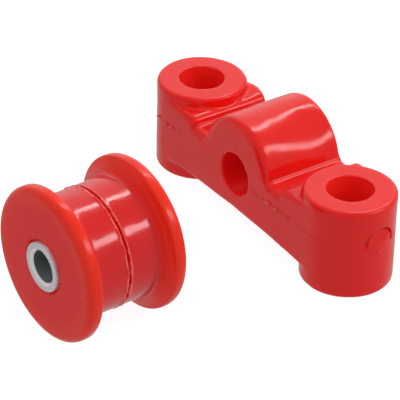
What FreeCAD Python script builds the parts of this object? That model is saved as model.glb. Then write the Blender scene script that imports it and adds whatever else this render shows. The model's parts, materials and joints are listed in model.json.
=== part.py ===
import FreeCAD, Part
import math
import os
import re
import Sketcher
from FreeCAD import Placement, Rotation, Vector

# A two-item set of moulded polyurethane mounts for a sway bar, laid out side by side:
#   mount_block                        saddle block with two bolt bosses and a humped cross hole
#   bush_front_half, bush_rear_half    the two flanged halves of a spool bush
#   inner_sleeve                       the plated steel tube that both halves turn on
#
# Frame: +Z up, z = 0 is the plane of the block's feet, the origin lies midway between the
# two bolt holes, the bolt holes lie along X and the cross hole along Y.

doc = FreeCAD.newDocument("sway_bar_mounts")

# Driving dimensions, millimetres and degrees.
dimensions = {
    # saddle block
    "bolt_spacing": 82.5,      # between the centres of the two bolt holes
    "boss_radius": 15.0,       # bosses and feet, and half the width of the block
    "boss_top": 31.5,
    "bolt_hole_radius": 7.5,
    "ledge_top": 28.0,         # flat shoulder between each boss and the valley
    "ledge_edge": 27.0,        # from the middle of the block to the edge of the ledge
    "valley_floor": 25.0,
    "valley_reach": 24.5,      # where the floor meets the slope up to the ledge
    "cross_hole_level": 20.0,
    "cross_hole_radius": 7.4,
    "hump_level": 22.4,        # height of the hump's own axis
    "hump_radius": 17.3,
    "hump_rounding": 2.5,
    "arch_crown": 7.6,         # underside of the block, midway between the feet
    "arch_foot": 5.0,          # underside of the block, over the bolt hole centres
    "parting_level": 19.2,     # where the two halves of the mould met
    "gate_shift": 1.2,         # arched scar where the moulding was fed
    "gate_reach": 5.1,
    "gate_height": 4.7,
    "gate_depth": 1.3,
    "rim_rounding": 0.8,       # top rims of the bosses and bottom rims of the feet
    "edge_rounding": 1.0,      # edges and roots of the valleys
    "hole_rounding": 0.4,
    # spool bush
    "bush_across": 18.75,      # X of the middle of the bush's front face
    "bush_front": -98.0,       # Y of the middle of the bush's front face
    "bush_turn": 3.3,          # the bush's axis is turned this far from Y, towards -X
    "flange_radius": 25.0,
    "flange_rim": 4.6,         # thickness of the flange at its rim
    "flange_root": 6.2,        # thickness of the flange beside the barrel
    "barrel_radius": 19.6,
    "half_length": 18.1,
    "halves_gap": 0.2,
    "face_rounding": 2.5,      # outer edge of the flange
    "back_rounding": 1.0,      # inner edge of the flange
    "root_rounding": 1.6,      # between flange and barrel
    "joint_chamfer": 0.6,      # where the halves meet
    "sleeve_fit": 0.04,        # radial clearance of the halves on the sleeve
    "sleeve_radius": 8.0,
    "sleeve_bore": 5.25,
    "sleeve_stand": 0.8,       # how far the sleeve stands proud of each flange
    "sleeve_chamfer": 0.7,
}

sheet = doc.addObject("Spreadsheet::Sheet", "Dimensions")
for row, (alias, value) in enumerate(dimensions.items(), start=1):
    sheet.set("A%d" % row, alias)
    sheet.set("B%d" % row, str(value))
    sheet.setAlias("B%d" % row, alias)
doc.recompute()


def cell(alias):
    """The formula that names one cell of the sheet."""
    return "Dimensions." + alias


def fill(formula):
    """Put the sheet's cells in place of the bare aliases of a formula."""
    return re.sub("[a-z_]+", lambda word: cell(word.group()), formula)


def worth(formula):
    """The number that a formula of aliases comes to."""
    sheet.set("D1", "=" + formula)
    doc.recompute([sheet])
    return float(sheet.get("D1"))


def newBody(name):
    body = doc.addObject("PartDesign::Body", name)
    body.Label = name
    return body


def newSketch(body, name, plane):
    """A sketch on one of the body's own origin planes."""
    sketch = body.newObject("Sketcher::SketchObject", name)
    origin_plane = next(item for item in body.Origin.OriginFeatures if item.Role == plane)
    sketch.AttachmentSupport = [(origin_plane, "")]
    sketch.MapMode = "FlatFace"
    return sketch


def pin(sketch, kind, item, point, formula):
    """Hold one point of the sketch at a distance from the origin that the sheet gives."""
    index = sketch.addConstraint(Sketcher.Constraint(kind, -1, 1, item, point, worth(formula)))
    sketch.setExpression("Constraints[%d]" % index, fill(formula))


def addOutline(sketch, corners):
    """A closed outline of straight lines through corners given as pairs of formulas."""
    places = [Vector(worth(across), worth(up), 0) for across, up in corners]
    lines = []
    for number, start in enumerate(places):
        end = places[(number + 1) % len(places)]
        lines.append(sketch.addGeometry(Part.LineSegment(start, end), False))
    for number, line in enumerate(lines):
        following = lines[(number + 1) % len(lines)]
        sketch.addConstraint(Sketcher.Constraint("Coincident", line, 2, following, 1))
    for line, (across, up) in zip(lines, corners):
        pin(sketch, "DistanceX", line, 1, across)
        pin(sketch, "DistanceY", line, 1, up)


def addCircle(sketch, across, up, radius):
    """A circle whose centre and radius are formulas."""
    centre = Vector(worth(across), worth(up), 0)
    ring = sketch.addGeometry(Part.Circle(centre, Vector(0, 0, 1), worth(radius)), False)
    pin(sketch, "DistanceX", ring, 3, across)
    pin(sketch, "DistanceY", ring, 3, up)
    index = sketch.addConstraint(Sketcher.Constraint("Radius", ring, worth(radius)))
    sketch.setExpression("Constraints[%d]" % index, fill(radius))


def pad(body, name, sketch, height):
    feature = body.newObject("PartDesign::Pad", name)
    feature.Profile = sketch
    feature.setExpression("Length", fill(height))
    return settle(feature)


def pocketThrough(body, name, sketch, both_ways):
    """A pocket right through the solid, along the sketch's normal or both ways from it."""
    feature = body.newObject("PartDesign::Pocket", name)
    feature.Profile = sketch
    feature.Type = "ThroughAll"
    feature.Midplane = both_ways
    feature.Reversed = not both_ways
    return settle(feature)


def settle(feature):
    """Recompute, and stop if the feature failed."""
    doc.recompute()
    sketch = getattr(feature, "Profile", None)
    if sketch and sketch[0].solve() != 0:
        raise RuntimeError("%s is not a solved sketch" % sketch[0].Name)
    if "Invalid" in feature.State or "Error" in feature.State or feature.Shape.isNull():
        raise RuntimeError("%s failed: %s" % (feature.Name, feature.State))
    return feature


def edgesWhere(shape, wanted):
    """Names of the edges whose middle point, with the edge itself, passes the test."""
    names = []
    for number, edge in enumerate(shape.Edges, start=1):
        middle = edge.valueAt((edge.FirstParameter + edge.LastParameter) / 2)
        if wanted(edge, middle):
            names.append("Edge%d" % number)
    return names


def dress(body, kind, name, size_property, alias, wanted):
    """Fillet or chamfer the edges of the body that pass the test."""
    base = body.Tip
    feature = body.newObject("PartDesign::" + kind, name)
    feature.Base = (base, edgesWhere(base.Shape, wanted))
    feature.setExpression(size_property, cell(alias))
    return settle(feature)


def near(value, target):
    return abs(value - target) < 0.02


def isRing(edge, radius):
    return isinstance(edge.Curve, Part.Circle) and near(edge.Curve.Radius, radius)


def buildMountBlock():
    """Two round bosses joined by a saddle, with a hump over the cross hole between them."""
    body = newBody("mount_block")
    size = dimensions

    # the saddle between the two bosses, up to the ledges
    sketch = newSketch(body, "saddle_outline", "XY_Plane")
    addOutline(sketch, [
        ("-bolt_spacing / 2", "-boss_radius"),
        ("bolt_spacing / 2", "-boss_radius"),
        ("bolt_spacing / 2", "boss_radius"),
        ("-bolt_spacing / 2", "boss_radius"),
    ])
    pad(body, "saddle", sketch, "ledge_top")

    # the valleys on both sides of the hump, cut as one wide trough
    sketch = newSketch(body, "valley_outline", "XZ_Plane")
    addOutline(sketch, [
        ("-valley_reach", "valley_floor"),
        ("valley_reach", "valley_floor"),
        ("ledge_edge", "ledge_top + 0.01"),
        ("-ledge_edge", "ledge_top + 0.01"),
    ])
    pocketThrough(body, "valleys", sketch, True)
    troughs = (size["valley_reach"], size["ledge_edge"])
    dress(body, "Fillet", "valley_edges", "Radius", "edge_rounding",
          lambda edge, middle: near(middle.y, 0) and near(edge.Length, 2 * size["boss_radius"])
          and any(abs(abs(middle.x) - reach) < 0.05 for reach in troughs))

    # the hump, a drum with rounded rims
    sketch = newSketch(body, "hump_outline", "YZ_Plane")
    addOutline(sketch, [
        ("-boss_radius", "hump_level"),
        ("boss_radius", "hump_level"),
        ("boss_radius", "hump_level + hump_radius"),
        ("-boss_radius", "hump_level + hump_radius"),
    ])
    hump = body.newObject("PartDesign::Revolution", "hump")
    hump.Profile = sketch
    hump.ReferenceAxis = (sketch, ["Edge1"])
    hump.Angle = 360
    settle(hump)
    dress(body, "Fillet", "hump_rims", "Radius", "hump_rounding",
          lambda edge, middle: isRing(edge, size["hump_radius"]) and middle.z > size["boss_top"])

    # the arched underside, open between the feet
    sketch = newSketch(body, "underside_outline", "XZ_Plane")
    half_span = worth("bolt_spacing / 2")
    rise = worth("arch_crown - arch_foot")
    arch_radius = (half_span ** 2 + rise ** 2) / (2 * rise)
    left, right = Vector(-half_span, size["arch_foot"], 0), Vector(half_span, size["arch_foot"], 0)
    crown = Vector(0, size["arch_crown"], 0)
    arch = sketch.addGeometry(Part.Arc(right, crown, left), False)
    corners = [left, Vector(-half_span, -1, 0), Vector(half_span, -1, 0), right]
    sides = [sketch.addGeometry(Part.LineSegment(a, b), False) for a, b in zip(corners, corners[1:])]
    chain = [(arch, 2, sides[0], 1), (sides[0], 2, sides[1], 1),
             (sides[1], 2, sides[2], 1), (sides[2], 2, arch, 1)]
    for first, first_end, second, second_end in chain:
        sketch.addConstraint(Sketcher.Constraint("Coincident", first, first_end, second, second_end))
    pin(sketch, "DistanceX", sides[0], 1, "-bolt_spacing / 2")
    pin(sketch, "DistanceX", sides[2], 2, "bolt_spacing / 2")
    pin(sketch, "DistanceY", sides[0], 1, "arch_foot")
    pin(sketch, "DistanceY", sides[2], 2, "arch_foot")
    index = sketch.addConstraint(Sketcher.Constraint("Radius", arch, arch_radius))
    sketch.setExpression("Constraints[%d]" % index, fill(
        "( bolt_spacing * bolt_spacing / 4 + ( arch_crown - arch_foot ) * ( arch_crown - arch_foot ) )"
        " / ( 2 * ( arch_crown - arch_foot ) )"))
    for side in (sides[0], sides[2]):
        sketch.addConstraint(Sketcher.Constraint("Vertical", side))
    pin(sketch, "DistanceY", sides[1], 1, "-1")
    pin(sketch, "DistanceY", sides[1], 2, "-1")
    pocketThrough(body, "underside", sketch, True)

    # the bosses, which run right down into the feet
    sketch = newSketch(body, "boss_outline", "XY_Plane")
    for side in ("-", ""):
        addCircle(sketch, side + "bolt_spacing / 2", "0", "boss_radius")
    pad(body, "bosses", sketch, "boss_top")

    # the two bolt holes and the cross hole
    sketch = newSketch(body, "bolt_hole_outline", "XY_Plane")
    for side in ("-", ""):
        addCircle(sketch, side + "bolt_spacing / 2", "0", "bolt_hole_radius")
    pocketThrough(body, "bolt_holes", sketch, False)
    sketch = newSketch(body, "cross_hole_outline", "XZ_Plane")
    addCircle(sketch, "0", "cross_hole_level", "cross_hole_radius")
    pocketThrough(body, "cross_hole", sketch, True)

    # the arched gate scar, just above the parting plane at the +X end
    sketch = newSketch(body, "gate_outline", "YZ_Plane")
    reach, rise, shift, level = (size[key] for key in ("gate_reach", "gate_height", "gate_shift", "parting_level"))
    left, right = Vector(shift - reach, level, 0), Vector(shift + reach, level, 0)
    arc = sketch.addGeometry(Part.Arc(right, Vector(shift, level + rise, 0), left), False)
    base = sketch.addGeometry(Part.LineSegment(left, right), False)
    sketch.addConstraint(Sketcher.Constraint("Coincident", arc, 2, base, 1))
    sketch.addConstraint(Sketcher.Constraint("Coincident", base, 2, arc, 1))
    pin(sketch, "DistanceX", base, 1, "gate_shift - gate_reach")
    pin(sketch, "DistanceX", base, 2, "gate_shift + gate_reach")
    pin(sketch, "DistanceY", base, 1, "parting_level")
    pin(sketch, "DistanceY", base, 2, "parting_level")
    index = sketch.addConstraint(Sketcher.Constraint("Radius", arc, (reach ** 2 + rise ** 2) / (2 * rise)))
    sketch.setExpression("Constraints[%d]" % index, fill(
        "( gate_reach * gate_reach + gate_height * gate_height ) / ( 2 * gate_height )"))
    sketch.setExpression("AttachmentOffset.Base.z", fill("bolt_spacing / 2 + boss_radius - gate_depth"))
    pocketThrough(body, "gate_scar", sketch, False)

    # soft edges
    def outerRim(edge, middle):
        return isRing(edge, size["boss_radius"]) and (near(middle.z, size["boss_top"]) or near(middle.z, 0))
    dress(body, "Fillet", "rims", "Radius", "rim_rounding", outerRim)
    mouths = (0, size["boss_top"])
    dress(body, "Fillet", "bolt_hole_mouths", "Radius", "hole_rounding",
          lambda edge, middle: isRing(edge, size["bolt_hole_radius"])
          and any(near(middle.z, mouth) for mouth in mouths))
    dress(body, "Fillet", "cross_hole_mouths", "Radius", "hole_rounding",
          lambda edge, middle: isRing(edge, size["cross_hole_radius"])
          and near(abs(middle.y), size["boss_radius"]))
    return body


def bushPlacement(distance, turned):
    """Place a piece on the bush's axis, this far behind the front face, facing back or front."""
    turn = math.radians(dimensions["bush_turn"])
    along = Vector(-math.sin(turn), math.cos(turn), 0)
    start = Vector(dimensions["bush_across"], dimensions["bush_front"], dimensions["flange_radius"])
    spin = 180 if turned else 0
    return Placement(start + along * distance, Rotation(Vector(0, 0, 1), dimensions["bush_turn"] + spin))


def buildBushHalf(name, placement):
    """A flanged half of the spool, revolved about its own Y axis from its outer face."""
    body = newBody(name)
    size = dimensions
    sketch = newSketch(body, name + "_outline", "YZ_Plane")
    addOutline(sketch, [
        ("0", "sleeve_radius + sleeve_fit"),
        ("0", "flange_radius"),
        ("flange_rim", "flange_radius"),
        ("flange_root", "barrel_radius"),
        ("half_length - halves_gap / 2", "barrel_radius"),
        ("half_length - halves_gap / 2", "sleeve_radius + sleeve_fit"),
    ])
    turned = body.newObject("PartDesign::Revolution", name + "_turned")
    turned.Profile = sketch
    turned.ReferenceAxis = (sketch, ["H_Axis"])
    turned.Angle = 360
    settle(turned)
    flange, barrel = size["flange_radius"], size["barrel_radius"]
    dress(body, "Fillet", name + "_face_edge", "Radius", "face_rounding",
          lambda edge, middle: isRing(edge, flange) and near(middle.y, 0))
    dress(body, "Fillet", name + "_back_edge", "Radius", "back_rounding",
          lambda edge, middle: isRing(edge, flange) and near(middle.y, size["flange_rim"]))
    dress(body, "Fillet", name + "_root", "Radius", "root_rounding",
          lambda edge, middle: isRing(edge, barrel) and near(middle.y, size["flange_root"]))
    dress(body, "Chamfer", name + "_joint", "Size", "joint_chamfer",
          lambda edge, middle: isRing(edge, barrel) and middle.y > size["half_length"] - 1)
    body.Placement = placement
    return body


def buildSleeve():
    """The steel tube, proud of both flanges, with a chamfered bore."""
    body = newBody("inner_sleeve")
    size = dimensions
    sketch = newSketch(body, "sleeve_outline", "YZ_Plane")
    addOutline(sketch, [
        ("0", "sleeve_bore"),
        ("0", "sleeve_radius"),
        ("2 * half_length + 2 * sleeve_stand", "sleeve_radius"),
        ("2 * half_length + 2 * sleeve_stand", "sleeve_bore"),
    ])
    tube = body.newObject("PartDesign::Revolution", "sleeve_turned")
    tube.Profile = sketch
    tube.ReferenceAxis = (sketch, ["H_Axis"])
    tube.Angle = 360
    settle(tube)
    dress(body, "Chamfer", "sleeve_bore_chamfer", "Size", "sleeve_chamfer",
          lambda edge, middle: isRing(edge, size["sleeve_bore"]))
    body.Placement = bushPlacement(-size["sleeve_stand"], False)
    return body


pieces = [
    buildMountBlock(),
    buildBushHalf("bush_front_half", bushPlacement(0, False)),
    buildBushHalf("bush_rear_half", bushPlacement(2 * dimensions["half_length"], True)),
    buildSleeve(),
]
doc.recompute()

for item in doc.Objects:
    if "Invalid" in item.State or "Error" in item.State:
        raise RuntimeError("%s is in state %s" % (item.Name, item.State))
for piece in pieces:
    if piece.Shape.isNull() or not piece.Shape.isValid() or len(piece.Shape.Solids) != 1:
        raise RuntimeError("%s has no single valid solid" % piece.Label)

os.makedirs("parts", exist_ok=True)
for piece in pieces:
    piece.Shape.exportStep("parts/%s.step" % piece.Label)
    extent = piece.Shape.BoundBox
    print("%-16s %8.0f mm3  x %.2f..%.2f  y %.2f..%.2f  z %.2f..%.2f" % (
        piece.Label, piece.Shape.Volume, extent.XMin, extent.XMax,
        extent.YMin, extent.YMax, extent.ZMin, extent.ZMax))
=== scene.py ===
import json
import math

import bpy
import numpy
from mathutils import Matrix, Vector


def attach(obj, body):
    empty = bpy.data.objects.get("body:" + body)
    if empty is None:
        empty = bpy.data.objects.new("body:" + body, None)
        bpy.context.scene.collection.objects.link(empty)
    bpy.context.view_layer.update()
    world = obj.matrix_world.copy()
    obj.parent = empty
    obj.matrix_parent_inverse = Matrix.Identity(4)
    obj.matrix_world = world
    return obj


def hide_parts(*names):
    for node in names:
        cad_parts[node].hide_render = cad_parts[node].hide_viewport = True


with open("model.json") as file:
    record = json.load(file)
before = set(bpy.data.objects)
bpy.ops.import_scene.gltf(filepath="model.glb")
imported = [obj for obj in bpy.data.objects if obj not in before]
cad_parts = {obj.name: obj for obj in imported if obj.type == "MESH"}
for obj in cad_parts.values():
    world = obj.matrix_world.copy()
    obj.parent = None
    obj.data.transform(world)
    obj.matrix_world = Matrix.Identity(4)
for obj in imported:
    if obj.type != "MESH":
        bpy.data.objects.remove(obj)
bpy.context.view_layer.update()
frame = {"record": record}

mm = 0.001
mounts = {mount["name"]: mount for mount in frame["record"]["mounts"]}
spoolMiddle = Vector(mounts["bush_barrel"]["pos_m"])
spoolAxis = Vector(mounts["bush_barrel"]["axis"]).normalized()
crossLevel = mounts["cross_hole"]["pos_m"][2] / mm
boltX = mounts["bolt_hole_right"]["pos_m"][0] / mm


def deselectAll():
    if bpy.context.object and bpy.context.object.mode != "OBJECT":
        bpy.ops.object.mode_set(mode="OBJECT")
    bpy.ops.object.select_all(action="DESELECT")


def leaveEdit():
    bpy.ops.object.mode_set(mode="OBJECT")


def makeActive(piece):
    deselectAll()
    piece.select_set(True)
    bpy.context.view_layer.objects.active = piece


def named(name):
    piece = bpy.context.object
    piece.name = name
    piece.data.name = name
    return piece


def unpick(piece):
    makeActive(piece)
    for items in (piece.data.vertices, piece.data.edges, piece.data.polygons):
        items.foreach_set("select", [False] * len(items))


def pick(piece, kind, test):
    # selects the verts, edges or faces whose middle passes the test, and leaves edit mode on
    unpick(piece)
    mesh = piece.data
    if kind == "VERT":
        for vertex in mesh.vertices:
            vertex.select = test(vertex.co / mm)
    if kind == "EDGE":
        for edge in mesh.edges:
            first, second = (mesh.vertices[i].co / mm for i in edge.vertices)
            edge.select = test(first, second)
    if kind == "FACE":
        for face in mesh.polygons:
            face.select = test(face.center / mm, face.normal)
    bpy.ops.object.mode_set(mode="EDIT")
    bpy.ops.mesh.select_mode(type=kind)


def addModifier(piece, kind, **values):
    # adds a modifier, sets it and applies it
    makeActive(piece)
    modifier = piece.modifiers.new(kind.lower(), kind)
    for key, value in values.items():
        setattr(modifier, key, value)
    bpy.ops.object.modifier_apply(modifier=modifier.name)


def combine(piece, tool, operation):
    addModifier(piece, "BOOLEAN", operation=operation, object=tool, solver="EXACT")
    bpy.data.objects.remove(tool)


def applyPlace(piece):
    makeActive(piece)
    bpy.ops.object.transform_apply(location=True, rotation=True, scale=True)


def tidyMesh(piece):
    makeActive(piece)
    bpy.ops.object.mode_set(mode="EDIT")
    bpy.ops.mesh.select_all(action="SELECT")
    bpy.ops.mesh.remove_doubles(threshold=0.002 * mm)
    bpy.ops.mesh.normals_make_consistent(inside=False)
    leaveEdit()


def smoothShade(piece, angle=None):
    makeActive(piece)
    if angle:
        bpy.ops.object.shade_smooth_by_angle(angle=math.radians(angle))
    else:
        bpy.ops.object.shade_smooth()


def ripple(piece, name, wave, group=""):
    # pushes the skin in and out by a cloud pattern, over all of it or over one vertex group
    texture = bpy.data.textures.new(name, "CLOUDS")
    texture.noise_scale = wave["size"] * mm
    texture.noise_depth = 1
    addModifier(piece, "DISPLACE", texture=texture, texture_coords="LOCAL", vertex_group=group,
                strength=wave["strength"] * mm, mid_level=wave["middle"])


def giveMaterials(piece, materials, names, choose):
    # choose gives each face the place of its material in names
    for name in names:
        piece.data.materials.append(materials[name])
    for face in piece.data.polygons:
        face.material_index = choose(face)


def setInputs(node, values):
    for name, value in values.items():
        node.inputs[name].default_value = value


cameraSettings = {
    "place": (0.53675, -0.40039, 0.43236),
    "turn": 55.27,       # degrees round from -Y towards +X
    "tilt": 32.6,        # degrees above the floor
    "roll": 1.2,
    "lens": 217,
    "sensor": 36,
    "clipStart": 0.01,
}


def makeCamera(settings):
    bpy.ops.object.camera_add(location=settings["place"])
    camera = named("camera")
    turn, tilt, roll = (math.radians(settings[key]) for key in ("turn", "tilt", "roll"))
    right = Vector((math.cos(turn), math.sin(turn), 0))
    forward = Vector((-math.sin(turn) * math.cos(tilt), math.cos(turn) * math.cos(tilt), -math.sin(tilt)))
    up = right.cross(forward)
    tiltedRight = right * math.cos(roll) + up * math.sin(roll)
    tiltedUp = up * math.cos(roll) - right * math.sin(roll)
    axes = Matrix((tiltedRight, tiltedUp, -forward)).transposed()
    camera.rotation_euler = axes.to_euler()
    camera.data.lens = settings["lens"]
    camera.data.sensor_width = settings["sensor"]
    camera.data.clip_start = settings["clipStart"]
    bpy.context.scene.camera = camera


lampSettings = {
    "highStrip": {"towards": (-0.31, 0.47, 0.83), "size": (0.13, 0.55), "glow": 10.0, "distance": 1.1,
                  "shadow": False},
    "sideStrip": {"towards": (0.62, 0.52, 0.59), "size": (0.22, 0.55), "glow": 8.0, "distance": 1.1,
                  "shadow": True},
}


def makeLamp(name, settings):
    towards = Vector(settings["towards"]).normalized()
    bpy.ops.object.light_add(type="AREA", location=towards * settings["distance"])
    lamp = named(name)
    # the long side lies along Y, as a strip light over the bench
    along = Vector((0, 1, 0))
    across = along.cross(towards).normalized()
    along = towards.cross(across)
    lamp.rotation_euler = Matrix((across, along, towards)).transposed().to_euler()
    lamp.data.shape = "RECTANGLE"
    lamp.data.size, lamp.data.size_y = settings["size"]
    lamp.data.energy = settings["glow"] * math.pi * lamp.data.size * lamp.data.size_y
    lamp.data.use_shadow = settings["shadow"]


roomSettings = {
    "sky": 0.57,
    "below": 0.58,
    "horizon": 0.05,                     # half the height over which one turns into the other
    "backWall": 0.45,                    # extra glow of the wall behind, on the left
    "backWallTowards": (-0.71, 0.49, 0.50),
    "backWallSpread": (0.75, 0.92),      # cosines where the glow starts and where it is full
    "floorColour": (0.35, 0.35, 0.35, 1),
    "floorGlow": 0.86,
    "floorSize": 6,
    "floorDrop": 0.05,                   # below the feet, in mm
}


def makeRoom(settings):
    # soft sky, dim below the bench, and a brighter wall behind
    world = bpy.data.worlds.new("softRoom")
    bpy.context.scene.world = world
    world.use_nodes = True
    nodes, links = world.node_tree.nodes, world.node_tree.links
    direction = nodes.new("ShaderNodeTexCoord")
    parts = nodes.new("ShaderNodeSeparateXYZ")
    links.new(direction.outputs["Generated"], parts.inputs["Vector"])
    height = nodes.new("ShaderNodeMapRange")
    setInputs(height, {"From Min": -settings["horizon"], "From Max": settings["horizon"],
                       "To Min": settings["below"], "To Max": settings["sky"]})
    links.new(parts.outputs["Z"], height.inputs["Value"])
    facing = nodes.new("ShaderNodeVectorMath")
    facing.operation = "DOT_PRODUCT"
    facing.inputs[1].default_value = Vector(settings["backWallTowards"]).normalized()
    links.new(direction.outputs["Generated"], facing.inputs[0])
    wall = nodes.new("ShaderNodeMapRange")
    edge, full = settings["backWallSpread"]
    setInputs(wall, {"From Min": edge, "From Max": full, "To Max": settings["backWall"]})
    links.new(facing.outputs["Value"], wall.inputs["Value"])
    total = nodes.new("ShaderNodeMath")
    links.new(height.outputs["Result"], total.inputs[0])
    links.new(wall.outputs["Result"], total.inputs[1])
    links.new(total.outputs["Value"], nodes["Background"].inputs["Strength"])
    nodes["Background"].inputs["Color"].default_value = (1, 1, 1, 1)


def makeFloor(settings):
    bpy.ops.mesh.primitive_grid_add(x_subdivisions=4, y_subdivisions=4, size=settings["floorSize"],
                                    location=(0, 0, -settings["floorDrop"] * mm))
    floor = named("floor")
    applyPlace(floor)
    material = bpy.data.materials.new("litTable")
    material.use_nodes = True
    shader = material.node_tree.nodes["Principled BSDF"]
    setInputs(shader, {"Base Color": settings["floorColour"], "Roughness": 0.9, "Specular IOR Level": 0.2,
                       "Emission Color": (1, 1, 1, 1), "Emission Strength": settings["floorGlow"]})
    floor.data.materials.append(material)
    floor.visible_glossy = False
    floor.visible_diffuse = False


makeCamera(cameraSettings)
for lampName, settings in lampSettings.items():
    makeLamp(lampName, settings)
makeRoom(roomSettings)
makeFloor(roomSettings)
bpy.context.scene.view_settings.view_transform = "Standard"
bpy.context.scene.view_settings.look = "None"
print("camera, lamps and floor are in")


def newGroup(name, inputs, outputs):
    group = bpy.data.node_groups.new(name, "ShaderNodeTree")
    for socketName, kind in inputs:
        group.interface.new_socket(socketName, in_out="INPUT", socket_type=kind)
    for socketName, kind in outputs:
        group.interface.new_socket(socketName, in_out="OUTPUT", socket_type=kind)
    return group, group.nodes.new("NodeGroupInput"), group.nodes.new("NodeGroupOutput")


castPatterns = {
    "cloud": {"Scale": 90, "Detail": 3},     # colour
    "patch": {"Scale": 160, "Detail": 4},    # gloss
    "skin": {"Scale": 350, "Detail": 2},     # height
}


def makeRedCastGroup(patterns):
    # cloudy colour, patchy gloss and the small pits and ripples of a cast surface
    group, given, result = newGroup("redCast", [
        ("Place", "NodeSocketVector"),
        ("Light", "NodeSocketColor"),
        ("Deep", "NodeSocketColor"),
        ("Smoothest", "NodeSocketFloat"),
        ("Roughest", "NodeSocketFloat"),
    ], [("Colour", "NodeSocketColor"), ("Gloss", "NodeSocketFloat"), ("Height", "NodeSocketFloat")])
    nodes, links = group.nodes, group.links

    cloud = nodes.new("ShaderNodeTexNoise")
    setInputs(cloud, patterns["cloud"])
    links.new(given.outputs["Place"], cloud.inputs["Vector"])
    tint = nodes.new("ShaderNodeMix")
    tint.data_type = "RGBA"
    links.new(cloud.outputs["Fac"], tint.inputs["Factor"])
    links.new(given.outputs["Deep"], tint.inputs["A"])
    links.new(given.outputs["Light"], tint.inputs["B"])
    links.new(tint.outputs["Result"], result.inputs["Colour"])

    patch = nodes.new("ShaderNodeTexNoise")
    setInputs(patch, patterns["patch"])
    links.new(given.outputs["Place"], patch.inputs["Vector"])
    spread = nodes.new("ShaderNodeMapRange")
    setInputs(spread, {"From Min": 0.3, "From Max": 0.7})
    links.new(given.outputs["Smoothest"], spread.inputs["To Min"])
    links.new(given.outputs["Roughest"], spread.inputs["To Max"])
    links.new(patch.outputs["Fac"], spread.inputs["Value"])
    links.new(spread.outputs["Result"], result.inputs["Gloss"])

    skin = nodes.new("ShaderNodeTexNoise")
    setInputs(skin, patterns["skin"])
    links.new(given.outputs["Place"], skin.inputs["Vector"])
    links.new(skin.outputs["Fac"], result.inputs["Height"])
    return group


def makeRimFadeGroup():
    # 0 near an axis and 1 further out, for a rim that is thin enough to let light through
    group, given, result = newGroup("rimFade", [
        ("Place", "NodeSocketVector"),
        ("Centre", "NodeSocketVector"),
        ("Axis", "NodeSocketVector"),
        ("Inner", "NodeSocketFloat"),
        ("Outer", "NodeSocketFloat"),
    ], [("Fade", "NodeSocketFloat")])
    nodes, links = group.nodes, group.links
    away = nodes.new("ShaderNodeVectorMath")
    away.operation = "SUBTRACT"
    links.new(given.outputs["Place"], away.inputs[0])
    links.new(given.outputs["Centre"], away.inputs[1])
    across = nodes.new("ShaderNodeVectorMath")
    across.operation = "CROSS_PRODUCT"
    links.new(away.outputs["Vector"], across.inputs[0])
    links.new(given.outputs["Axis"], across.inputs[1])
    reach = nodes.new("ShaderNodeVectorMath")
    reach.operation = "LENGTH"
    links.new(across.outputs["Vector"], reach.inputs[0])
    fade = nodes.new("ShaderNodeMapRange")
    fade.interpolation_type = "SMOOTHSTEP"
    links.new(reach.outputs["Value"], fade.inputs["Value"])
    links.new(given.outputs["Inner"], fade.inputs["From Min"])
    links.new(given.outputs["Outer"], fade.inputs["From Max"])
    links.new(fade.outputs["Result"], result.inputs["Fade"])
    return group


def makePolyurethane(name, redCast, rimFade, settings):
    material = bpy.data.materials.new(name)
    material.use_nodes = True
    nodes, links = material.node_tree.nodes, material.node_tree.links
    shader = nodes["Principled BSDF"]
    place = nodes.new("ShaderNodeTexCoord")
    cast = nodes.new("ShaderNodeGroup")
    cast.node_tree = redCast
    setInputs(cast, {"Light": settings["light"], "Deep": settings["deep"],
                     "Smoothest": settings["smoothest"], "Roughest": settings["roughest"]})
    bump = nodes.new("ShaderNodeBump")
    setInputs(bump, {"Strength": settings["bump"], "Distance": 0.0003})
    links.new(place.outputs["Object"], cast.inputs["Place"])
    # painted light: the outer part of the flange is blended towards a lighter orange red, standing in for
    # light coming through the thin rim
    if "rim" in settings:
        fade = nodes.new("ShaderNodeGroup")
        fade.node_tree = rimFade
        setInputs(fade, {"Centre": spoolMiddle, "Axis": spoolAxis,
                         "Inner": settings["rimFrom"], "Outer": settings["rimTo"]})
        links.new(place.outputs["Object"], fade.inputs["Place"])
        blend = nodes.new("ShaderNodeMix")
        blend.data_type = "RGBA"
        blend.inputs["B"].default_value = settings["rim"]
        links.new(fade.outputs["Fade"], blend.inputs["Factor"])
        links.new(cast.outputs["Colour"], blend.inputs["A"])
        links.new(blend.outputs["Result"], shader.inputs["Base Color"])
    else:
        links.new(cast.outputs["Colour"], shader.inputs["Base Color"])
    links.new(cast.outputs["Gloss"], shader.inputs["Roughness"])
    links.new(cast.outputs["Height"], bump.inputs["Height"])
    links.new(bump.outputs["Normal"], shader.inputs["Normal"])
    setInputs(shader, {"Subsurface Weight": settings["soft"], "Subsurface Scale": settings["depth"],
                       "Subsurface Radius": (1.0, 0.08, 0.06), "IOR": 1.48,
                       "Specular IOR Level": settings["shine"]})
    return material


turningMarks = {
    "cloud": 160,        # scale of the dull patches
    "reach": 0.02,       # furthest ring from the axis
    "phase": 600,        # radians from the axis to the furthest ring
    "strength": 0.10,
    "depth": 0.0001,
}


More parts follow.
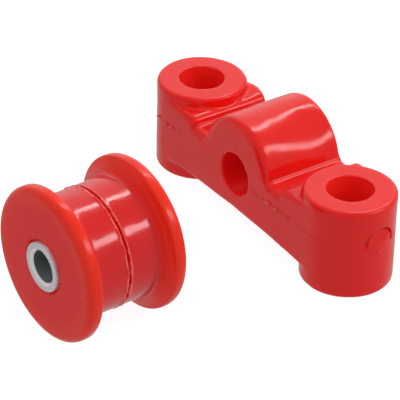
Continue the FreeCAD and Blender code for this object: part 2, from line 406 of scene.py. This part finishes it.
def makeSteel(name, rimFade, marks, settings):
    material = bpy.data.materials.new(name)
    material.use_nodes = True
    nodes, links = material.node_tree.nodes, material.node_tree.links
    shader = nodes["Principled BSDF"]
    setInputs(shader, {"Metallic": settings["metal"], "Specular IOR Level": settings["shine"]})
    place = nodes.new("ShaderNodeTexCoord")
    cloud = nodes.new("ShaderNodeTexNoise")
    cloud.inputs["Scale"].default_value = marks["cloud"]
    links.new(place.outputs["Object"], cloud.inputs["Vector"])
    tint = nodes.new("ShaderNodeMix")
    tint.data_type = "RGBA"
    setInputs(tint, {"A": settings["dull"], "B": settings["bright"]})
    links.new(cloud.outputs["Fac"], tint.inputs["Factor"])
    links.new(tint.outputs["Result"], shader.inputs["Base Color"])
    # fine rings left by the cutting tool
    turned = nodes.new("ShaderNodeGroup")
    turned.node_tree = rimFade
    setInputs(turned, {"Centre": spoolMiddle, "Axis": spoolAxis, "Inner": 0, "Outer": marks["reach"]})
    links.new(place.outputs["Object"], turned.inputs["Place"])
    wave = nodes.new("ShaderNodeMath")
    wave.operation = "MULTIPLY"
    wave.inputs[1].default_value = marks["phase"]
    links.new(turned.outputs["Fade"], wave.inputs[0])
    ridge = nodes.new("ShaderNodeMath")
    ridge.operation = "SINE"
    links.new(wave.outputs["Value"], ridge.inputs[0])
    bump = nodes.new("ShaderNodeBump")
    setInputs(bump, {"Strength": marks["strength"], "Distance": marks["depth"]})
    links.new(ridge.outputs["Value"], bump.inputs["Height"])
    links.new(bump.outputs["Normal"], shader.inputs["Normal"])
    rough = nodes.new("ShaderNodeMapRange")
    setInputs(rough, {"To Min": settings["smoothest"], "To Max": settings["roughest"]})
    links.new(cloud.outputs["Fac"], rough.inputs["Value"])
    links.new(rough.outputs["Result"], shader.inputs["Roughness"])
    return material


steelSettings = {
    "platedSteel": {"metal": 0.45, "dull": (0.60, 0.54, 0.56, 1), "bright": (0.88, 0.82, 0.84, 1),
                    "smoothest": 0.18, "roughest": 0.34, "shine": 0.5},
    # the sleeve's chamfer, a near-white non-metal: partly the lighter colour of cut steel, partly a painted
    # highlight for the bright reflection the chamfer shows
    "cutSteelGlint": {"metal": 0.0, "dull": (0.92, 0.88, 0.90, 1), "bright": (1.0, 0.97, 0.98, 1),
                 "smoothest": 0.06, "roughest": 0.12, "shine": 1.0},
    # the sleeve's bore: grey steel, painted darker as the shade deep inside the bore
    "boreSteelShade": {"metal": 0.1, "dull": (0.12, 0.135, 0.14, 1), "bright": (0.20, 0.22, 0.225, 1),
                  "smoothest": 0.5, "roughest": 0.7, "shine": 0.1},
}
redSettings = {
    "blockRed": {"light": (0.95, 0.016, 0.011, 1), "deep": (0.82, 0.008, 0.007, 1), "smoothest": 0.13,
                 "roughest": 0.24, "bump": 0.08, "soft": 0.6, "depth": 0.004, "shine": 0.37},
    "flangeRed": {"light": (1.0, 0.010, 0.006, 1), "deep": (0.92, 0.005, 0.005, 1), "smoothest": 0.18,
                  "roughest": 0.28, "bump": 0.04, "soft": 0.6, "depth": 0.004, "shine": 0.25,
                  "rim": (1.0, 0.035, 0.014, 1), "rimFrom": 0.017, "rimTo": 0.025},
    # painted light: a lighter red for the bolt holes, standing in for light that comes through their walls
    "holeLitRed": {"light": (1.0, 0.030, 0.022, 1), "deep": (0.95, 0.022, 0.016, 1), "smoothest": 0.35,
                "roughest": 0.45, "bump": 0.15, "soft": 0.6, "depth": 0.004, "shine": 0.15},
    # painted shade: a darker red for the cross hole, the torn edge of the gate scar and the bush's mouth
    # round the sleeve
    "recessShadeRed": {"light": (0.88, 0.010, 0.010, 1), "deep": (0.78, 0.006, 0.008, 1), "smoothest": 0.45,
                "roughest": 0.55, "bump": 0.15, "soft": 0.6, "depth": 0.004, "shine": 0.08},
    # painted highlight: a pale pink red on the flash and on the lips where the bush halves meet
    "edgeHighlightRed": {"light": (1.0, 0.24, 0.21, 1), "deep": (0.90, 0.05, 0.045, 1), "smoothest": 0.15,
                "roughest": 0.30, "bump": 0.2, "soft": 0.4, "depth": 0.002, "shine": 0.6},
    # painted shade: a darker red for the barrel, which lies in the shade between the flanges
    "barrelShadeRed": {"light": (0.85, 0.009, 0.010, 1), "deep": (0.72, 0.005, 0.006, 1), "smoothest": 0.10,
                  "roughest": 0.18, "bump": 0.20, "soft": 0.6, "depth": 0.003, "shine": 0.5},
}
rimFade = makeRimFadeGroup()
redCast = makeRedCastGroup(castPatterns)
reds = {name: makePolyurethane(name, redCast, rimFade, settings)
        for name, settings in redSettings.items()}
steels = {name: makeSteel(name, rimFade, turningMarks, settings)
          for name, settings in steelSettings.items()}
print("materials are mixed")


blockSizes = {
    "bossRadius": 15.0,
    "bossTop": 31.5,
    "bossRim": 1.0,
    "footRim": 0.8,
    "holeRadius": 7.5,
    "ledgeTop": 28.0,
    "ledgeRound": 2.9,   # soft inner edge of each ledge
    "valleyFloor": 25.0,
    "valleyReach": 24.7,
    "valleyRound": 0.9,
    "humpLevel": 22.4,
    "humpRadius": 17.3,
    "humpFoot": 3.0,     # hollow curve where the hump meets the valley
    "frontRound": 2.5,   # rounding over the hump and valleys
    "rearRound": 1.7,
    "crossRadius": 7.4,
    "archCrown": 6.9,
    "archFoot": 5.0,
    "archRound": 0.8,
    "partingLevel": 19.2,
    "gateReach": 5.1,
    "gateHeight": 4.7,
    "gateDepth": 1.3,
    "gateShift": 1.2,    # along Y
    "gateTilt": 12,      # degrees
    "gateZone": {"deep": 4, "half": 7, "under": 6, "over": 1.2},     # skin worked on around the scar
    "tear": {"halfWidth": 0.38, "under": 0.4, "depth": 1.3},
    "gateFlakes": [      # y, z and size
        (1.25, 15.0, 0.35), (0.6, 15.9, 0.2), (6.2, 18.6, 0.3), (-3.9, 18.7, 0.3),
    ],
    "flakeRise": (0.55, 0, 0.2),
    "grain": 0.5,        # voxel size
    "smoothing": 6,
    "nudges": [          # sunk and swollen places of the casting
        {"spot": (10.1, 6.4, 36.5), "push": (-0.46, 0, -0.65), "reach": 11},
        {"spot": (9.6, -11.4, 36.8), "push": (0.25, 0, 0.37), "reach": 8},
        {"spot": (27, 14.2, 27.6), "push": (-0.3, 0.4, 0.5), "reach": 8},
        {"spot": (-30, 14.6, 27.8), "push": (0, 0.7, 0.7), "reach": 7},
    ],
    "trough": {"long": 40, "tall": 10},      # cuts the valleys, clear of the front and back
    "boltCore": (-5, 40),    # from and to along each hole, past both ends
    "crossCore": (-30, 30),
    "archCore": (-30, 30),
    "gateCore": (0, 6),
    "castWave": {"size": 14, "strength": 0.30, "middle": 0.5},
    "castRipple": {"size": 5, "strength": 0.07, "middle": 0.5},
    # how near a face must be to a feature to take its colour
    "zones": {"hole": 0.4, "rim": 0.6, "flash": 0.7, "flashProud": 0.28, "tear": 0.4},
    "flashRows": (-0.34, -0.1, 0.1, 0.34),
    "flashFaint": 0.15,  # share of the full flash along the rest of the line
    "flashStrong": ((8, 30), (-46, -31)),    # from x to x on the front wall
    "flash": {"size": 1.5, "strength": 3.6, "middle": 0.42},
}


def addDrum(name, radius, low, high, x=0.0, sides=128):
    bpy.ops.mesh.primitive_cylinder_add(vertices=sides, radius=radius * mm, depth=(high - low) * mm,
                                        location=(x * mm, 0, (low + high) / 2 * mm))
    drum = named(name)
    applyPlace(drum)
    return drum


def bevelRing(drum, level, offset, segments):
    pick(drum, "EDGE", lambda a, b: abs(a.z - level) < 0.01 and abs(b.z - level) < 0.01)
    bpy.ops.mesh.bevel(offset=offset * mm, segments=segments, profile=0.5)
    leaveEdit()


def layAlongY(drum, level):
    drum.matrix_world = Matrix.Translation((0, 0, level * mm)) @ Matrix.Rotation(math.radians(90), 4, "X")
    applyPlace(drum)


def turnOver(piece, axis, angle, centre):
    # turns a piece about an axis through centre, and writes the turn into its mesh
    turn = Matrix.Rotation(math.radians(angle), 4, axis)
    move = Matrix.Translation(Vector(centre) * mm)
    piece.matrix_world = move @ turn @ move.inverted()
    applyPlace(piece)


def bevelAlong(piece, offset, segments, test):
    pick(piece, "EDGE", test)
    bpy.ops.mesh.bevel(offset=offset * mm, segments=segments, profile=0.5, clamp_overlap=False)
    leaveEdit()


def runsAlongY(x, z, reach=0.1):
    # test for an edge that runs front to back at this place, on either side
    return lambda a, b: (abs(abs(a.x) - x) < reach and abs(abs(b.x) - x) < reach and abs(a.x - b.x) < 0.01
                         and abs(a.z - z) < reach and abs(b.z - z) < reach and abs(a.y - b.y) > 1)


def nudge(piece, spot, push, reach):
    # pulls the surface at a spot, with the skin around it following softly
    places = [0.0] * (3 * len(piece.data.vertices))
    piece.data.vertices.foreach_get("co", places)
    places = (numpy.array(places) / mm).reshape(-1, 3)
    nearest = int(((places - numpy.array(spot)) ** 2).sum(axis=1).argmin())
    unpick(piece)
    piece.data.vertices[nearest].select = True
    bpy.ops.object.mode_set(mode="EDIT")
    bpy.ops.mesh.select_mode(type="VERT")
    bpy.ops.transform.translate(value=Vector(push) * mm, use_proportional_edit=True,
                                proportional_edit_falloff="SMOOTH", proportional_size=reach * mm)
    leaveEdit()


def addFlash(block, sizes):
    # thin ragged line where the mould's two halves met, worst on the front wall
    level, rows = sizes["partingLevel"], sizes["flashRows"]
    for offset in rows:
        pick(block, "FACE", lambda p, n: abs(p.z - level) < 2)
        bpy.ops.mesh.bisect(plane_co=(0, 0, (level + offset) * mm), plane_no=(0, 0, 1))
        leaveEdit()
    seam = block.vertex_groups.new(name="seam")
    for vertex in block.data.vertices:
        x, y, z = vertex.co / mm
        away = math.hypot(abs(x) - boltX, y) if abs(x) > boltX else abs(y)
        outside = away > sizes["bossRadius"] - (1.8 if abs(x) > boltX else 2)
        if outside and min(abs(z - level - row) for row in rows[1:-1]) < 0.02:
            strong = y < 0 and any(start < x < end for start, end in sizes["flashStrong"])
            seam.add([vertex.index], 1.0 if strong else sizes["flashFaint"], "REPLACE")
    ripple(block, "flashGrain", sizes["flash"], "seam")


def gateArc(sizes):
    # radius of the arc over the gate scar, and the level of its middle
    rise = sizes["gateHeight"]
    radius = (sizes["gateReach"] ** 2 + rise ** 2) / (2 * rise)
    return radius, sizes["partingLevel"] + rise - radius


def addGateEdge(block, sizes):
    # torn edge over the gate scar, and small flakes beside it
    level, shift, tear, zone = (sizes[key] for key in ("partingLevel", "gateShift", "tear", "gateZone"))
    gateRadius, gateLevel = gateArc(sizes)
    endFace = boltX + sizes["bossRadius"] - zone["deep"]
    low, high = level - zone["under"], level + sizes["gateHeight"] + zone["over"]
    pick(block, "FACE", lambda p, n: p.x > endFace and abs(p.y - shift) < zone["half"] and low < p.z < high)
    bpy.ops.mesh.subdivide(number_cuts=2)
    leaveEdit()
    pick(block, "VERT", lambda p: p.x > endFace and p.z > level - tear["under"]
         and abs(math.hypot(p.y - shift, p.z - gateLevel) - gateRadius) < tear["halfWidth"])
    bpy.ops.transform.translate(value=(-tear["depth"] * mm, 0, 0))
    leaveEdit()
    for y, z, size in sizes["gateFlakes"]:
        pick(block, "VERT", lambda p: p.x > endFace and math.hypot(p.y - y, p.z - z) < size)
        bpy.ops.transform.translate(value=[rise * mm for rise in sizes["flakeRise"]])
        leaveEdit()


def makeSaddle(sizes):
    wide = sizes["bossRadius"]
    bpy.ops.mesh.primitive_cube_add(size=1, location=(0, 0, sizes["ledgeTop"] / 2 * mm),
                                    scale=(2 * boltX * mm, 2 * wide * mm, sizes["ledgeTop"] * mm))
    saddle = named("mountBlockBody")
    applyPlace(saddle)

    # trough for the valleys, then the hump over the cross hole
    long, tall = sizes["trough"]["long"], sizes["trough"]["tall"]
    bpy.ops.mesh.primitive_cube_add(size=1, location=(0, 0, (sizes["valleyFloor"] + tall / 2) * mm),
                                    scale=(2 * sizes["valleyReach"] * mm, long * mm, tall * mm))
    trough = named("trough")
    applyPlace(trough)
    combine(saddle, trough, "DIFFERENCE")
    hump = addDrum("hump", sizes["humpRadius"], -wide, wide, sides=192)
    layAlongY(hump, sizes["humpLevel"])
    combine(saddle, hump, "UNION")
    tidyMesh(saddle)
    pick(saddle, "FACE", lambda p, n: True)
    bpy.ops.mesh.dissolve_limited(angle_limit=math.radians(0.4))
    leaveEdit()

    # soft corners that run front to back, then the rounding over the front and back
    floor, top = sizes["valleyFloor"], sizes["ledgeTop"]
    footX = math.sqrt(sizes["humpRadius"] ** 2 - (floor - sizes["humpLevel"]) ** 2)
    bevelAlong(saddle, sizes["humpFoot"], 8, runsAlongY(footX, floor, 0.3))
    bevelAlong(saddle, sizes["valleyRound"], 4, runsAlongY(sizes["valleyReach"], floor))
    bevelAlong(saddle, sizes["ledgeRound"], 8, runsAlongY(sizes["valleyReach"], top))
    edge = sizes["valleyReach"] + sizes["ledgeRound"] + 0.01
    for y, rounding in ((-wide, sizes["frontRound"]), (wide, sizes["rearRound"])):
        bevelAlong(saddle, rounding, 8,
                   lambda a, b: abs(a.y - y) < 0.01 and abs(b.y - y) < 0.01
                   and min(a.z, b.z) > floor - 1 and max(abs(a.x), abs(b.x)) < edge)
    return saddle


def makeBlock(sizes):
    wide = sizes["bossRadius"]
    block = makeSaddle(sizes)

    # arched underside, through both walls
    rise = sizes["archCrown"] - sizes["archFoot"]
    archRadius = (boltX ** 2 + rise ** 2) / (2 * rise)
    arch = addDrum("arch", archRadius, *sizes["archCore"], sides=1024)
    layAlongY(arch, sizes["archCrown"] - archRadius)
    combine(block, arch, "DIFFERENCE")
    bevelAlong(block, sizes["archRound"], 3,
               lambda a, b: abs(abs(a.y) - wide) < 0.01 and abs(a.y - b.y) < 0.01
               and max(a.z, b.z) < sizes["archCrown"] + 0.1)

    # bosses, running down into the feet
    for side in (-1, 1):
        boss = addDrum("boss", sizes["bossRadius"], 0, sizes["bossTop"], x=side * boltX, sides=192)
        bevelRing(boss, sizes["bossTop"], sizes["bossRim"], 4)
        bevelRing(boss, 0, sizes["footRim"], 3)
        combine(block, boss, "UNION")

    # bolt holes and the cross hole
    for side in (-1, 1):
        core = addDrum("boltCore", sizes["holeRadius"], *sizes["boltCore"], x=side * boltX)
        combine(block, core, "DIFFERENCE")
    core = addDrum("crossCore", sizes["crossRadius"], *sizes["crossCore"])
    layAlongY(core, crossLevel)
    combine(block, core, "DIFFERENCE")

    # gate scar at the +X end, deepest at its top
    gateRadius, gateLevel = gateArc(sizes)
    gateX = boltX + wide - sizes["gateDepth"]
    gate = addDrum("gate", gateRadius, *sizes["gateCore"], sides=96)
    gate.matrix_world = (Matrix.Translation((gateX * mm, sizes["gateShift"] * mm, gateLevel * mm))
                         @ Matrix.Rotation(math.radians(90), 4, "Y"))
    applyPlace(gate)
    pick(gate, "FACE", lambda p, n: True)
    bpy.ops.mesh.bisect(plane_co=(0, 0, (sizes["partingLevel"] - 0.2) * mm), plane_no=(0, 0, 1),
                        use_fill=True, clear_inner=True)
    leaveEdit()
    turnOver(gate, "Y", -sizes["gateTilt"], (gateX, 0, sizes["partingLevel"] + sizes["gateHeight"]))
    combine(block, gate, "DIFFERENCE")

    # even skin, then the softness that a casting has
    addModifier(block, "REMESH", mode="VOXEL", voxel_size=sizes["grain"] * mm, use_smooth_shade=True)
    addModifier(block, "SMOOTH", factor=0.5, iterations=sizes["smoothing"])
    ripple(block, "castWave", sizes["castWave"])
    ripple(block, "castRipple", sizes["castRipple"])
    for place in sizes["nudges"]:
        nudge(block, **place)
    addFlash(block, sizes)
    addGateEdge(block, sizes)
    smoothShade(block)

    zones, parting = sizes["zones"], sizes["partingLevel"]
    holeReach, crossReach = sizes["holeRadius"] + zones["hole"], sizes["crossRadius"] + zones["hole"]
    endFace = boltX + wide - sizes["gateZone"]["deep"]

    def choose(face):
        x, y, z = face.center / mm
        inBolt = math.hypot(abs(x) - boltX, y) < holeReach and z < sizes["bossTop"] - zones["rim"]
        inCross = math.hypot(x, z - crossLevel) < crossReach and abs(y) < wide - zones["rim"]
        onFlash = abs(z - parting) < zones["flash"] and abs(x) < boltX and y < -wide - zones["flashProud"]
        onTear = (x > endFace and z > parting - sizes["tear"]["under"]
                  and abs(math.hypot(y - sizes["gateShift"], z - gateLevel) - gateRadius) < zones["tear"])
        # the bolt holes take a lighter red as painted light through their walls, the cross hole and the
        # gate's torn edge a darker red as painted shade, and the flash a pale painted highlight
        return 1 if inBolt else 2 if inCross or onTear else 3 if onFlash else 0

    giveMaterials(block, reds, ("blockRed", "holeLitRed", "recessShadeRed", "edgeHighlightRed"), choose)
    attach(block, "block")
    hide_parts("mount_block")
    print("mount block:", len(block.data.polygons), "faces")


makeBlock(blockSizes)


spoolSizes = {
    "flangeRadius": 25.0,
    "flangeRim": 4.6,
    "flangeRoot": 6.2,
    "barrelRadius": 19.6,
    "boreRadius": 8.04,
    "halfLength": 18.1,
    "gap": 0.2,
    "faceRound": 2.5,
    "backRound": 0.7,
    "stepRadius": 21.3,
    "rootRound": 1.2,
    "mouthRound": 0.9,
    "rootEnd": 0.9,      # past the flange's root, where the plain barrel starts
    "faceEdge": 3.2,     # in from the rim, where the plain rings of the face end
    "lipStart": 1.5,     # back from the end, where the plain rings of the barrel end
    # thin ring at the root, as steps out from stepRadius and back from flangeRoot
    "stepRings": ((0.25, 0.75), (0.05, 0.40), (-0.25, 0.35), (-0.6, 0.1)),
    # raised lip where the halves meet, as steps out from the barrel and back from the end
    "lipRings": ((0.02, 0.95), (0.22, 0.65), (0.18, 0.42), (-0.25, 0.28), (-0.60, 0.12), (-0.85, 0)),
    "sides": 192,
    "lipGrain": {"size": 2.0, "strength": 0.5, "middle": 0.5},
    "spoolWave": {"size": 12, "strength": 0.12, "middle": 0.5},
    # where each colour lies, back from the end, along from the flange and in from the mouth
    "zones": {"lip": (0.8, 0.35), "lipUnder": 0.1, "barrel": (-1.2, 0.5), "barrelFrom": 1.2, "mouth": 1.2},
}


def turnRings(name, rings, sides):
    # starts from a circle, then extrudes and scales it from ring to ring, and bridges the last to the first
    radius, level = rings[0]
    bpy.ops.mesh.primitive_circle_add(vertices=sides, radius=radius * mm, location=(0, 0, level * mm))
    piece = named(name)
    applyPlace(piece)
    bpy.ops.object.mode_set(mode="EDIT")
    bpy.ops.mesh.select_mode(type="EDGE")
    bpy.ops.mesh.select_all(action="SELECT")
    for nextRadius, nextLevel in rings[1:]:
        bpy.ops.mesh.extrude_region_move(TRANSFORM_OT_translate={"value": (0, 0, (nextLevel - level) * mm)})
        scale = nextRadius / radius
        bpy.ops.transform.resize(value=(scale, scale, 1), center_override=(0, 0, nextLevel * mm))
        radius, level = nextRadius, nextLevel
    leaveEdit()
    first, last = rings[0], rings[-1]

    def onRing(p, ring):
        return abs(p.z - ring[1]) < 0.005 and abs(math.hypot(p.x, p.y) - ring[0]) < 0.005
    pick(piece, "EDGE", lambda a, b: any(onRing(a, ring) and onRing(b, ring) for ring in (first, last)))
    bpy.ops.mesh.bridge_edge_loops()
    leaveEdit()
    tidyMesh(piece)
    return piece


def roundRing(piece, radius, level, offset, segments):
    def onRing(p):
        return abs(p.z - level) < 0.02 and abs(math.hypot(p.x, p.y) - radius) < 0.02
    pick(piece, "EDGE", lambda a, b: onRing(a) and onRing(b))
    bpy.ops.mesh.bevel(offset=offset * mm, segments=segments, profile=0.5)
    leaveEdit()


def steps(start, end, count):
    return [tuple(a + (b - a) * i / count for a, b in zip(start, end)) for i in range(1, count + 1)]


def makeSpoolHalf(sizes):
    end = sizes["halfLength"] - sizes["gap"] / 2
    bore, flange, barrel = sizes["boreRadius"], sizes["flangeRadius"], sizes["barrelRadius"]
    root = sizes["flangeRoot"]
    barrelStart = (barrel, root + sizes["rootEnd"])

    # rings from the bore's mouth out over the flange, along the barrel and back in to the bore
    rings = [(bore, 0)] + steps((bore, 0), (flange - sizes["faceEdge"], 0), 7)
    rings += [(flange, 0), (flange, sizes["flangeRim"])]
    rings += [(sizes["stepRadius"] + out, root - back) for out, back in sizes["stepRings"]]
    rings += [barrelStart] + steps(barrelStart, (barrel, end - sizes["lipStart"]), 6)
    rings += [(barrel + out, end - back) for out, back in sizes["lipRings"]]
    rings += steps(rings[-1], (bore, end), 6)
    half = turnRings("spoolHalf", rings, sizes["sides"])
    roundRing(half, flange, 0, sizes["faceRound"], 10)
    roundRing(half, flange, sizes["flangeRim"], sizes["backRound"], 5)
    roundRing(half, *barrelStart, sizes["rootRound"], 6)
    roundRing(half, bore, 0, sizes["mouthRound"], 4)

    zones = sizes["zones"]
    lipLow, lipHigh = (end - back for back in zones["lip"])
    lip = half.vertex_groups.new(name="lip")
    for vertex in half.data.vertices:
        radius, level = math.hypot(vertex.co.x, vertex.co.y) / mm, vertex.co.z / mm
        if radius > barrel + zones["lipUnder"] and lipLow < level < end:
            lip.add([vertex.index], 1.0, "REPLACE")
    ripple(half, "lipGrain", sizes["lipGrain"], "lip")
    inward, outward = zones["barrel"]

    def choose(face):
        radius, level = math.hypot(face.center.x, face.center.y) / mm, face.center.z / mm
        onLip = lipLow < level < lipHigh and radius > barrel - zones["lipUnder"]
        onBarrel = inward < radius - barrel < outward and level > root + zones["barrelFrom"]
        inMouth = radius < bore + sizes["mouthRound"] and level < zones["mouth"]
        # the mouth round the sleeve takes a darker red as painted shade, the lip where the halves meet a
        # pale painted highlight, and the barrel a darker red for the shade between the flanges
        return 3 if inMouth else 2 if onLip else 1 if onBarrel else 0

    giveMaterials(half, reds, ("flangeRed", "barrelShadeRed", "edgeHighlightRed", "recessShadeRed"), choose)
    return half


def placeAlong(piece, start, axis):
    turn = Vector((0, 0, 1)).rotation_difference(axis).to_matrix().to_4x4()
    piece.matrix_world = Matrix.Translation(start) @ turn
    applyPlace(piece)


def copyOf(piece, name):
    twin = piece.copy()
    twin.data = piece.data.copy()
    twin.name = name
    twin.data.name = name
    bpy.context.scene.collection.objects.link(twin)
    return twin


def makeSpool(sizes):
    frontHalf = makeSpoolHalf(sizes)
    rearHalf = copyOf(frontHalf, "bushRearHalf")
    frontHalf.name = "bushFrontHalf"
    reach = sizes["halfLength"] * mm
    placeAlong(frontHalf, spoolMiddle - spoolAxis * reach, spoolAxis)
    placeAlong(rearHalf, spoolMiddle + spoolAxis * reach, -spoolAxis)
    halves = ((frontHalf, "bush", "bush_front_half"), (rearHalf, "rear_half", "bush_rear_half"))
    for half, body, node in halves:
        ripple(half, "spoolWave", sizes["spoolWave"])
        smoothShade(half)
        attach(half, body)
        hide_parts(node)
        print(half.name + ":", len(half.data.polygons), "faces")


makeSpool(spoolSizes)


sleeveSizes = {
    "radius": 8.0,
    "bore": 5.25,
    "stand": 0.8,        # past each half's face
    "chamfer": 0.85,
    "endRound": 0.35,
    "chamferRound": 0.12,
    "sides": 128,
}


def makeSleeve(sizes):
    reach = spoolSizes["halfLength"] + sizes["stand"]
    outer, inner, cut = sizes["radius"], sizes["bore"], sizes["chamfer"]
    corners = [(inner, -reach + cut), (inner + cut, -reach), (outer, -reach), (outer, reach),
               (inner + cut, reach), (inner, reach - cut)]
    rings = [corners[0]]
    for start, finish, count in zip(corners, corners[1:], (1, 2, 12, 2, 1)):
        rings += steps(start, finish, count)
    sleeve = turnRings("innerSleeve", rings, sizes["sides"])
    for level in (-reach, reach):
        roundRing(sleeve, outer, level, sizes["endRound"], 3)
        roundRing(sleeve, inner + cut, level, sizes["chamferRound"], 2)
    placeAlong(sleeve, spoolMiddle, spoolAxis)
    smoothShade(sleeve, 40)

    def choose(face):
        away = (face.center - spoolMiddle).cross(spoolAxis).length / mm
        # the chamfer takes the near-white cut steel with its painted highlight, and the bore the grey steel
        # darkened as painted shade
        return 2 if away < inner + 0.05 else 1 if away < inner + cut else 0

    giveMaterials(sleeve, steels, ("platedSteel", "cutSteelGlint", "boreSteelShade"), choose)
    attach(sleeve, "sleeve")
    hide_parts("inner_sleeve")
    print("sleeve:", len(sleeve.data.polygons), "faces")


makeSleeve(sleeveSizes)
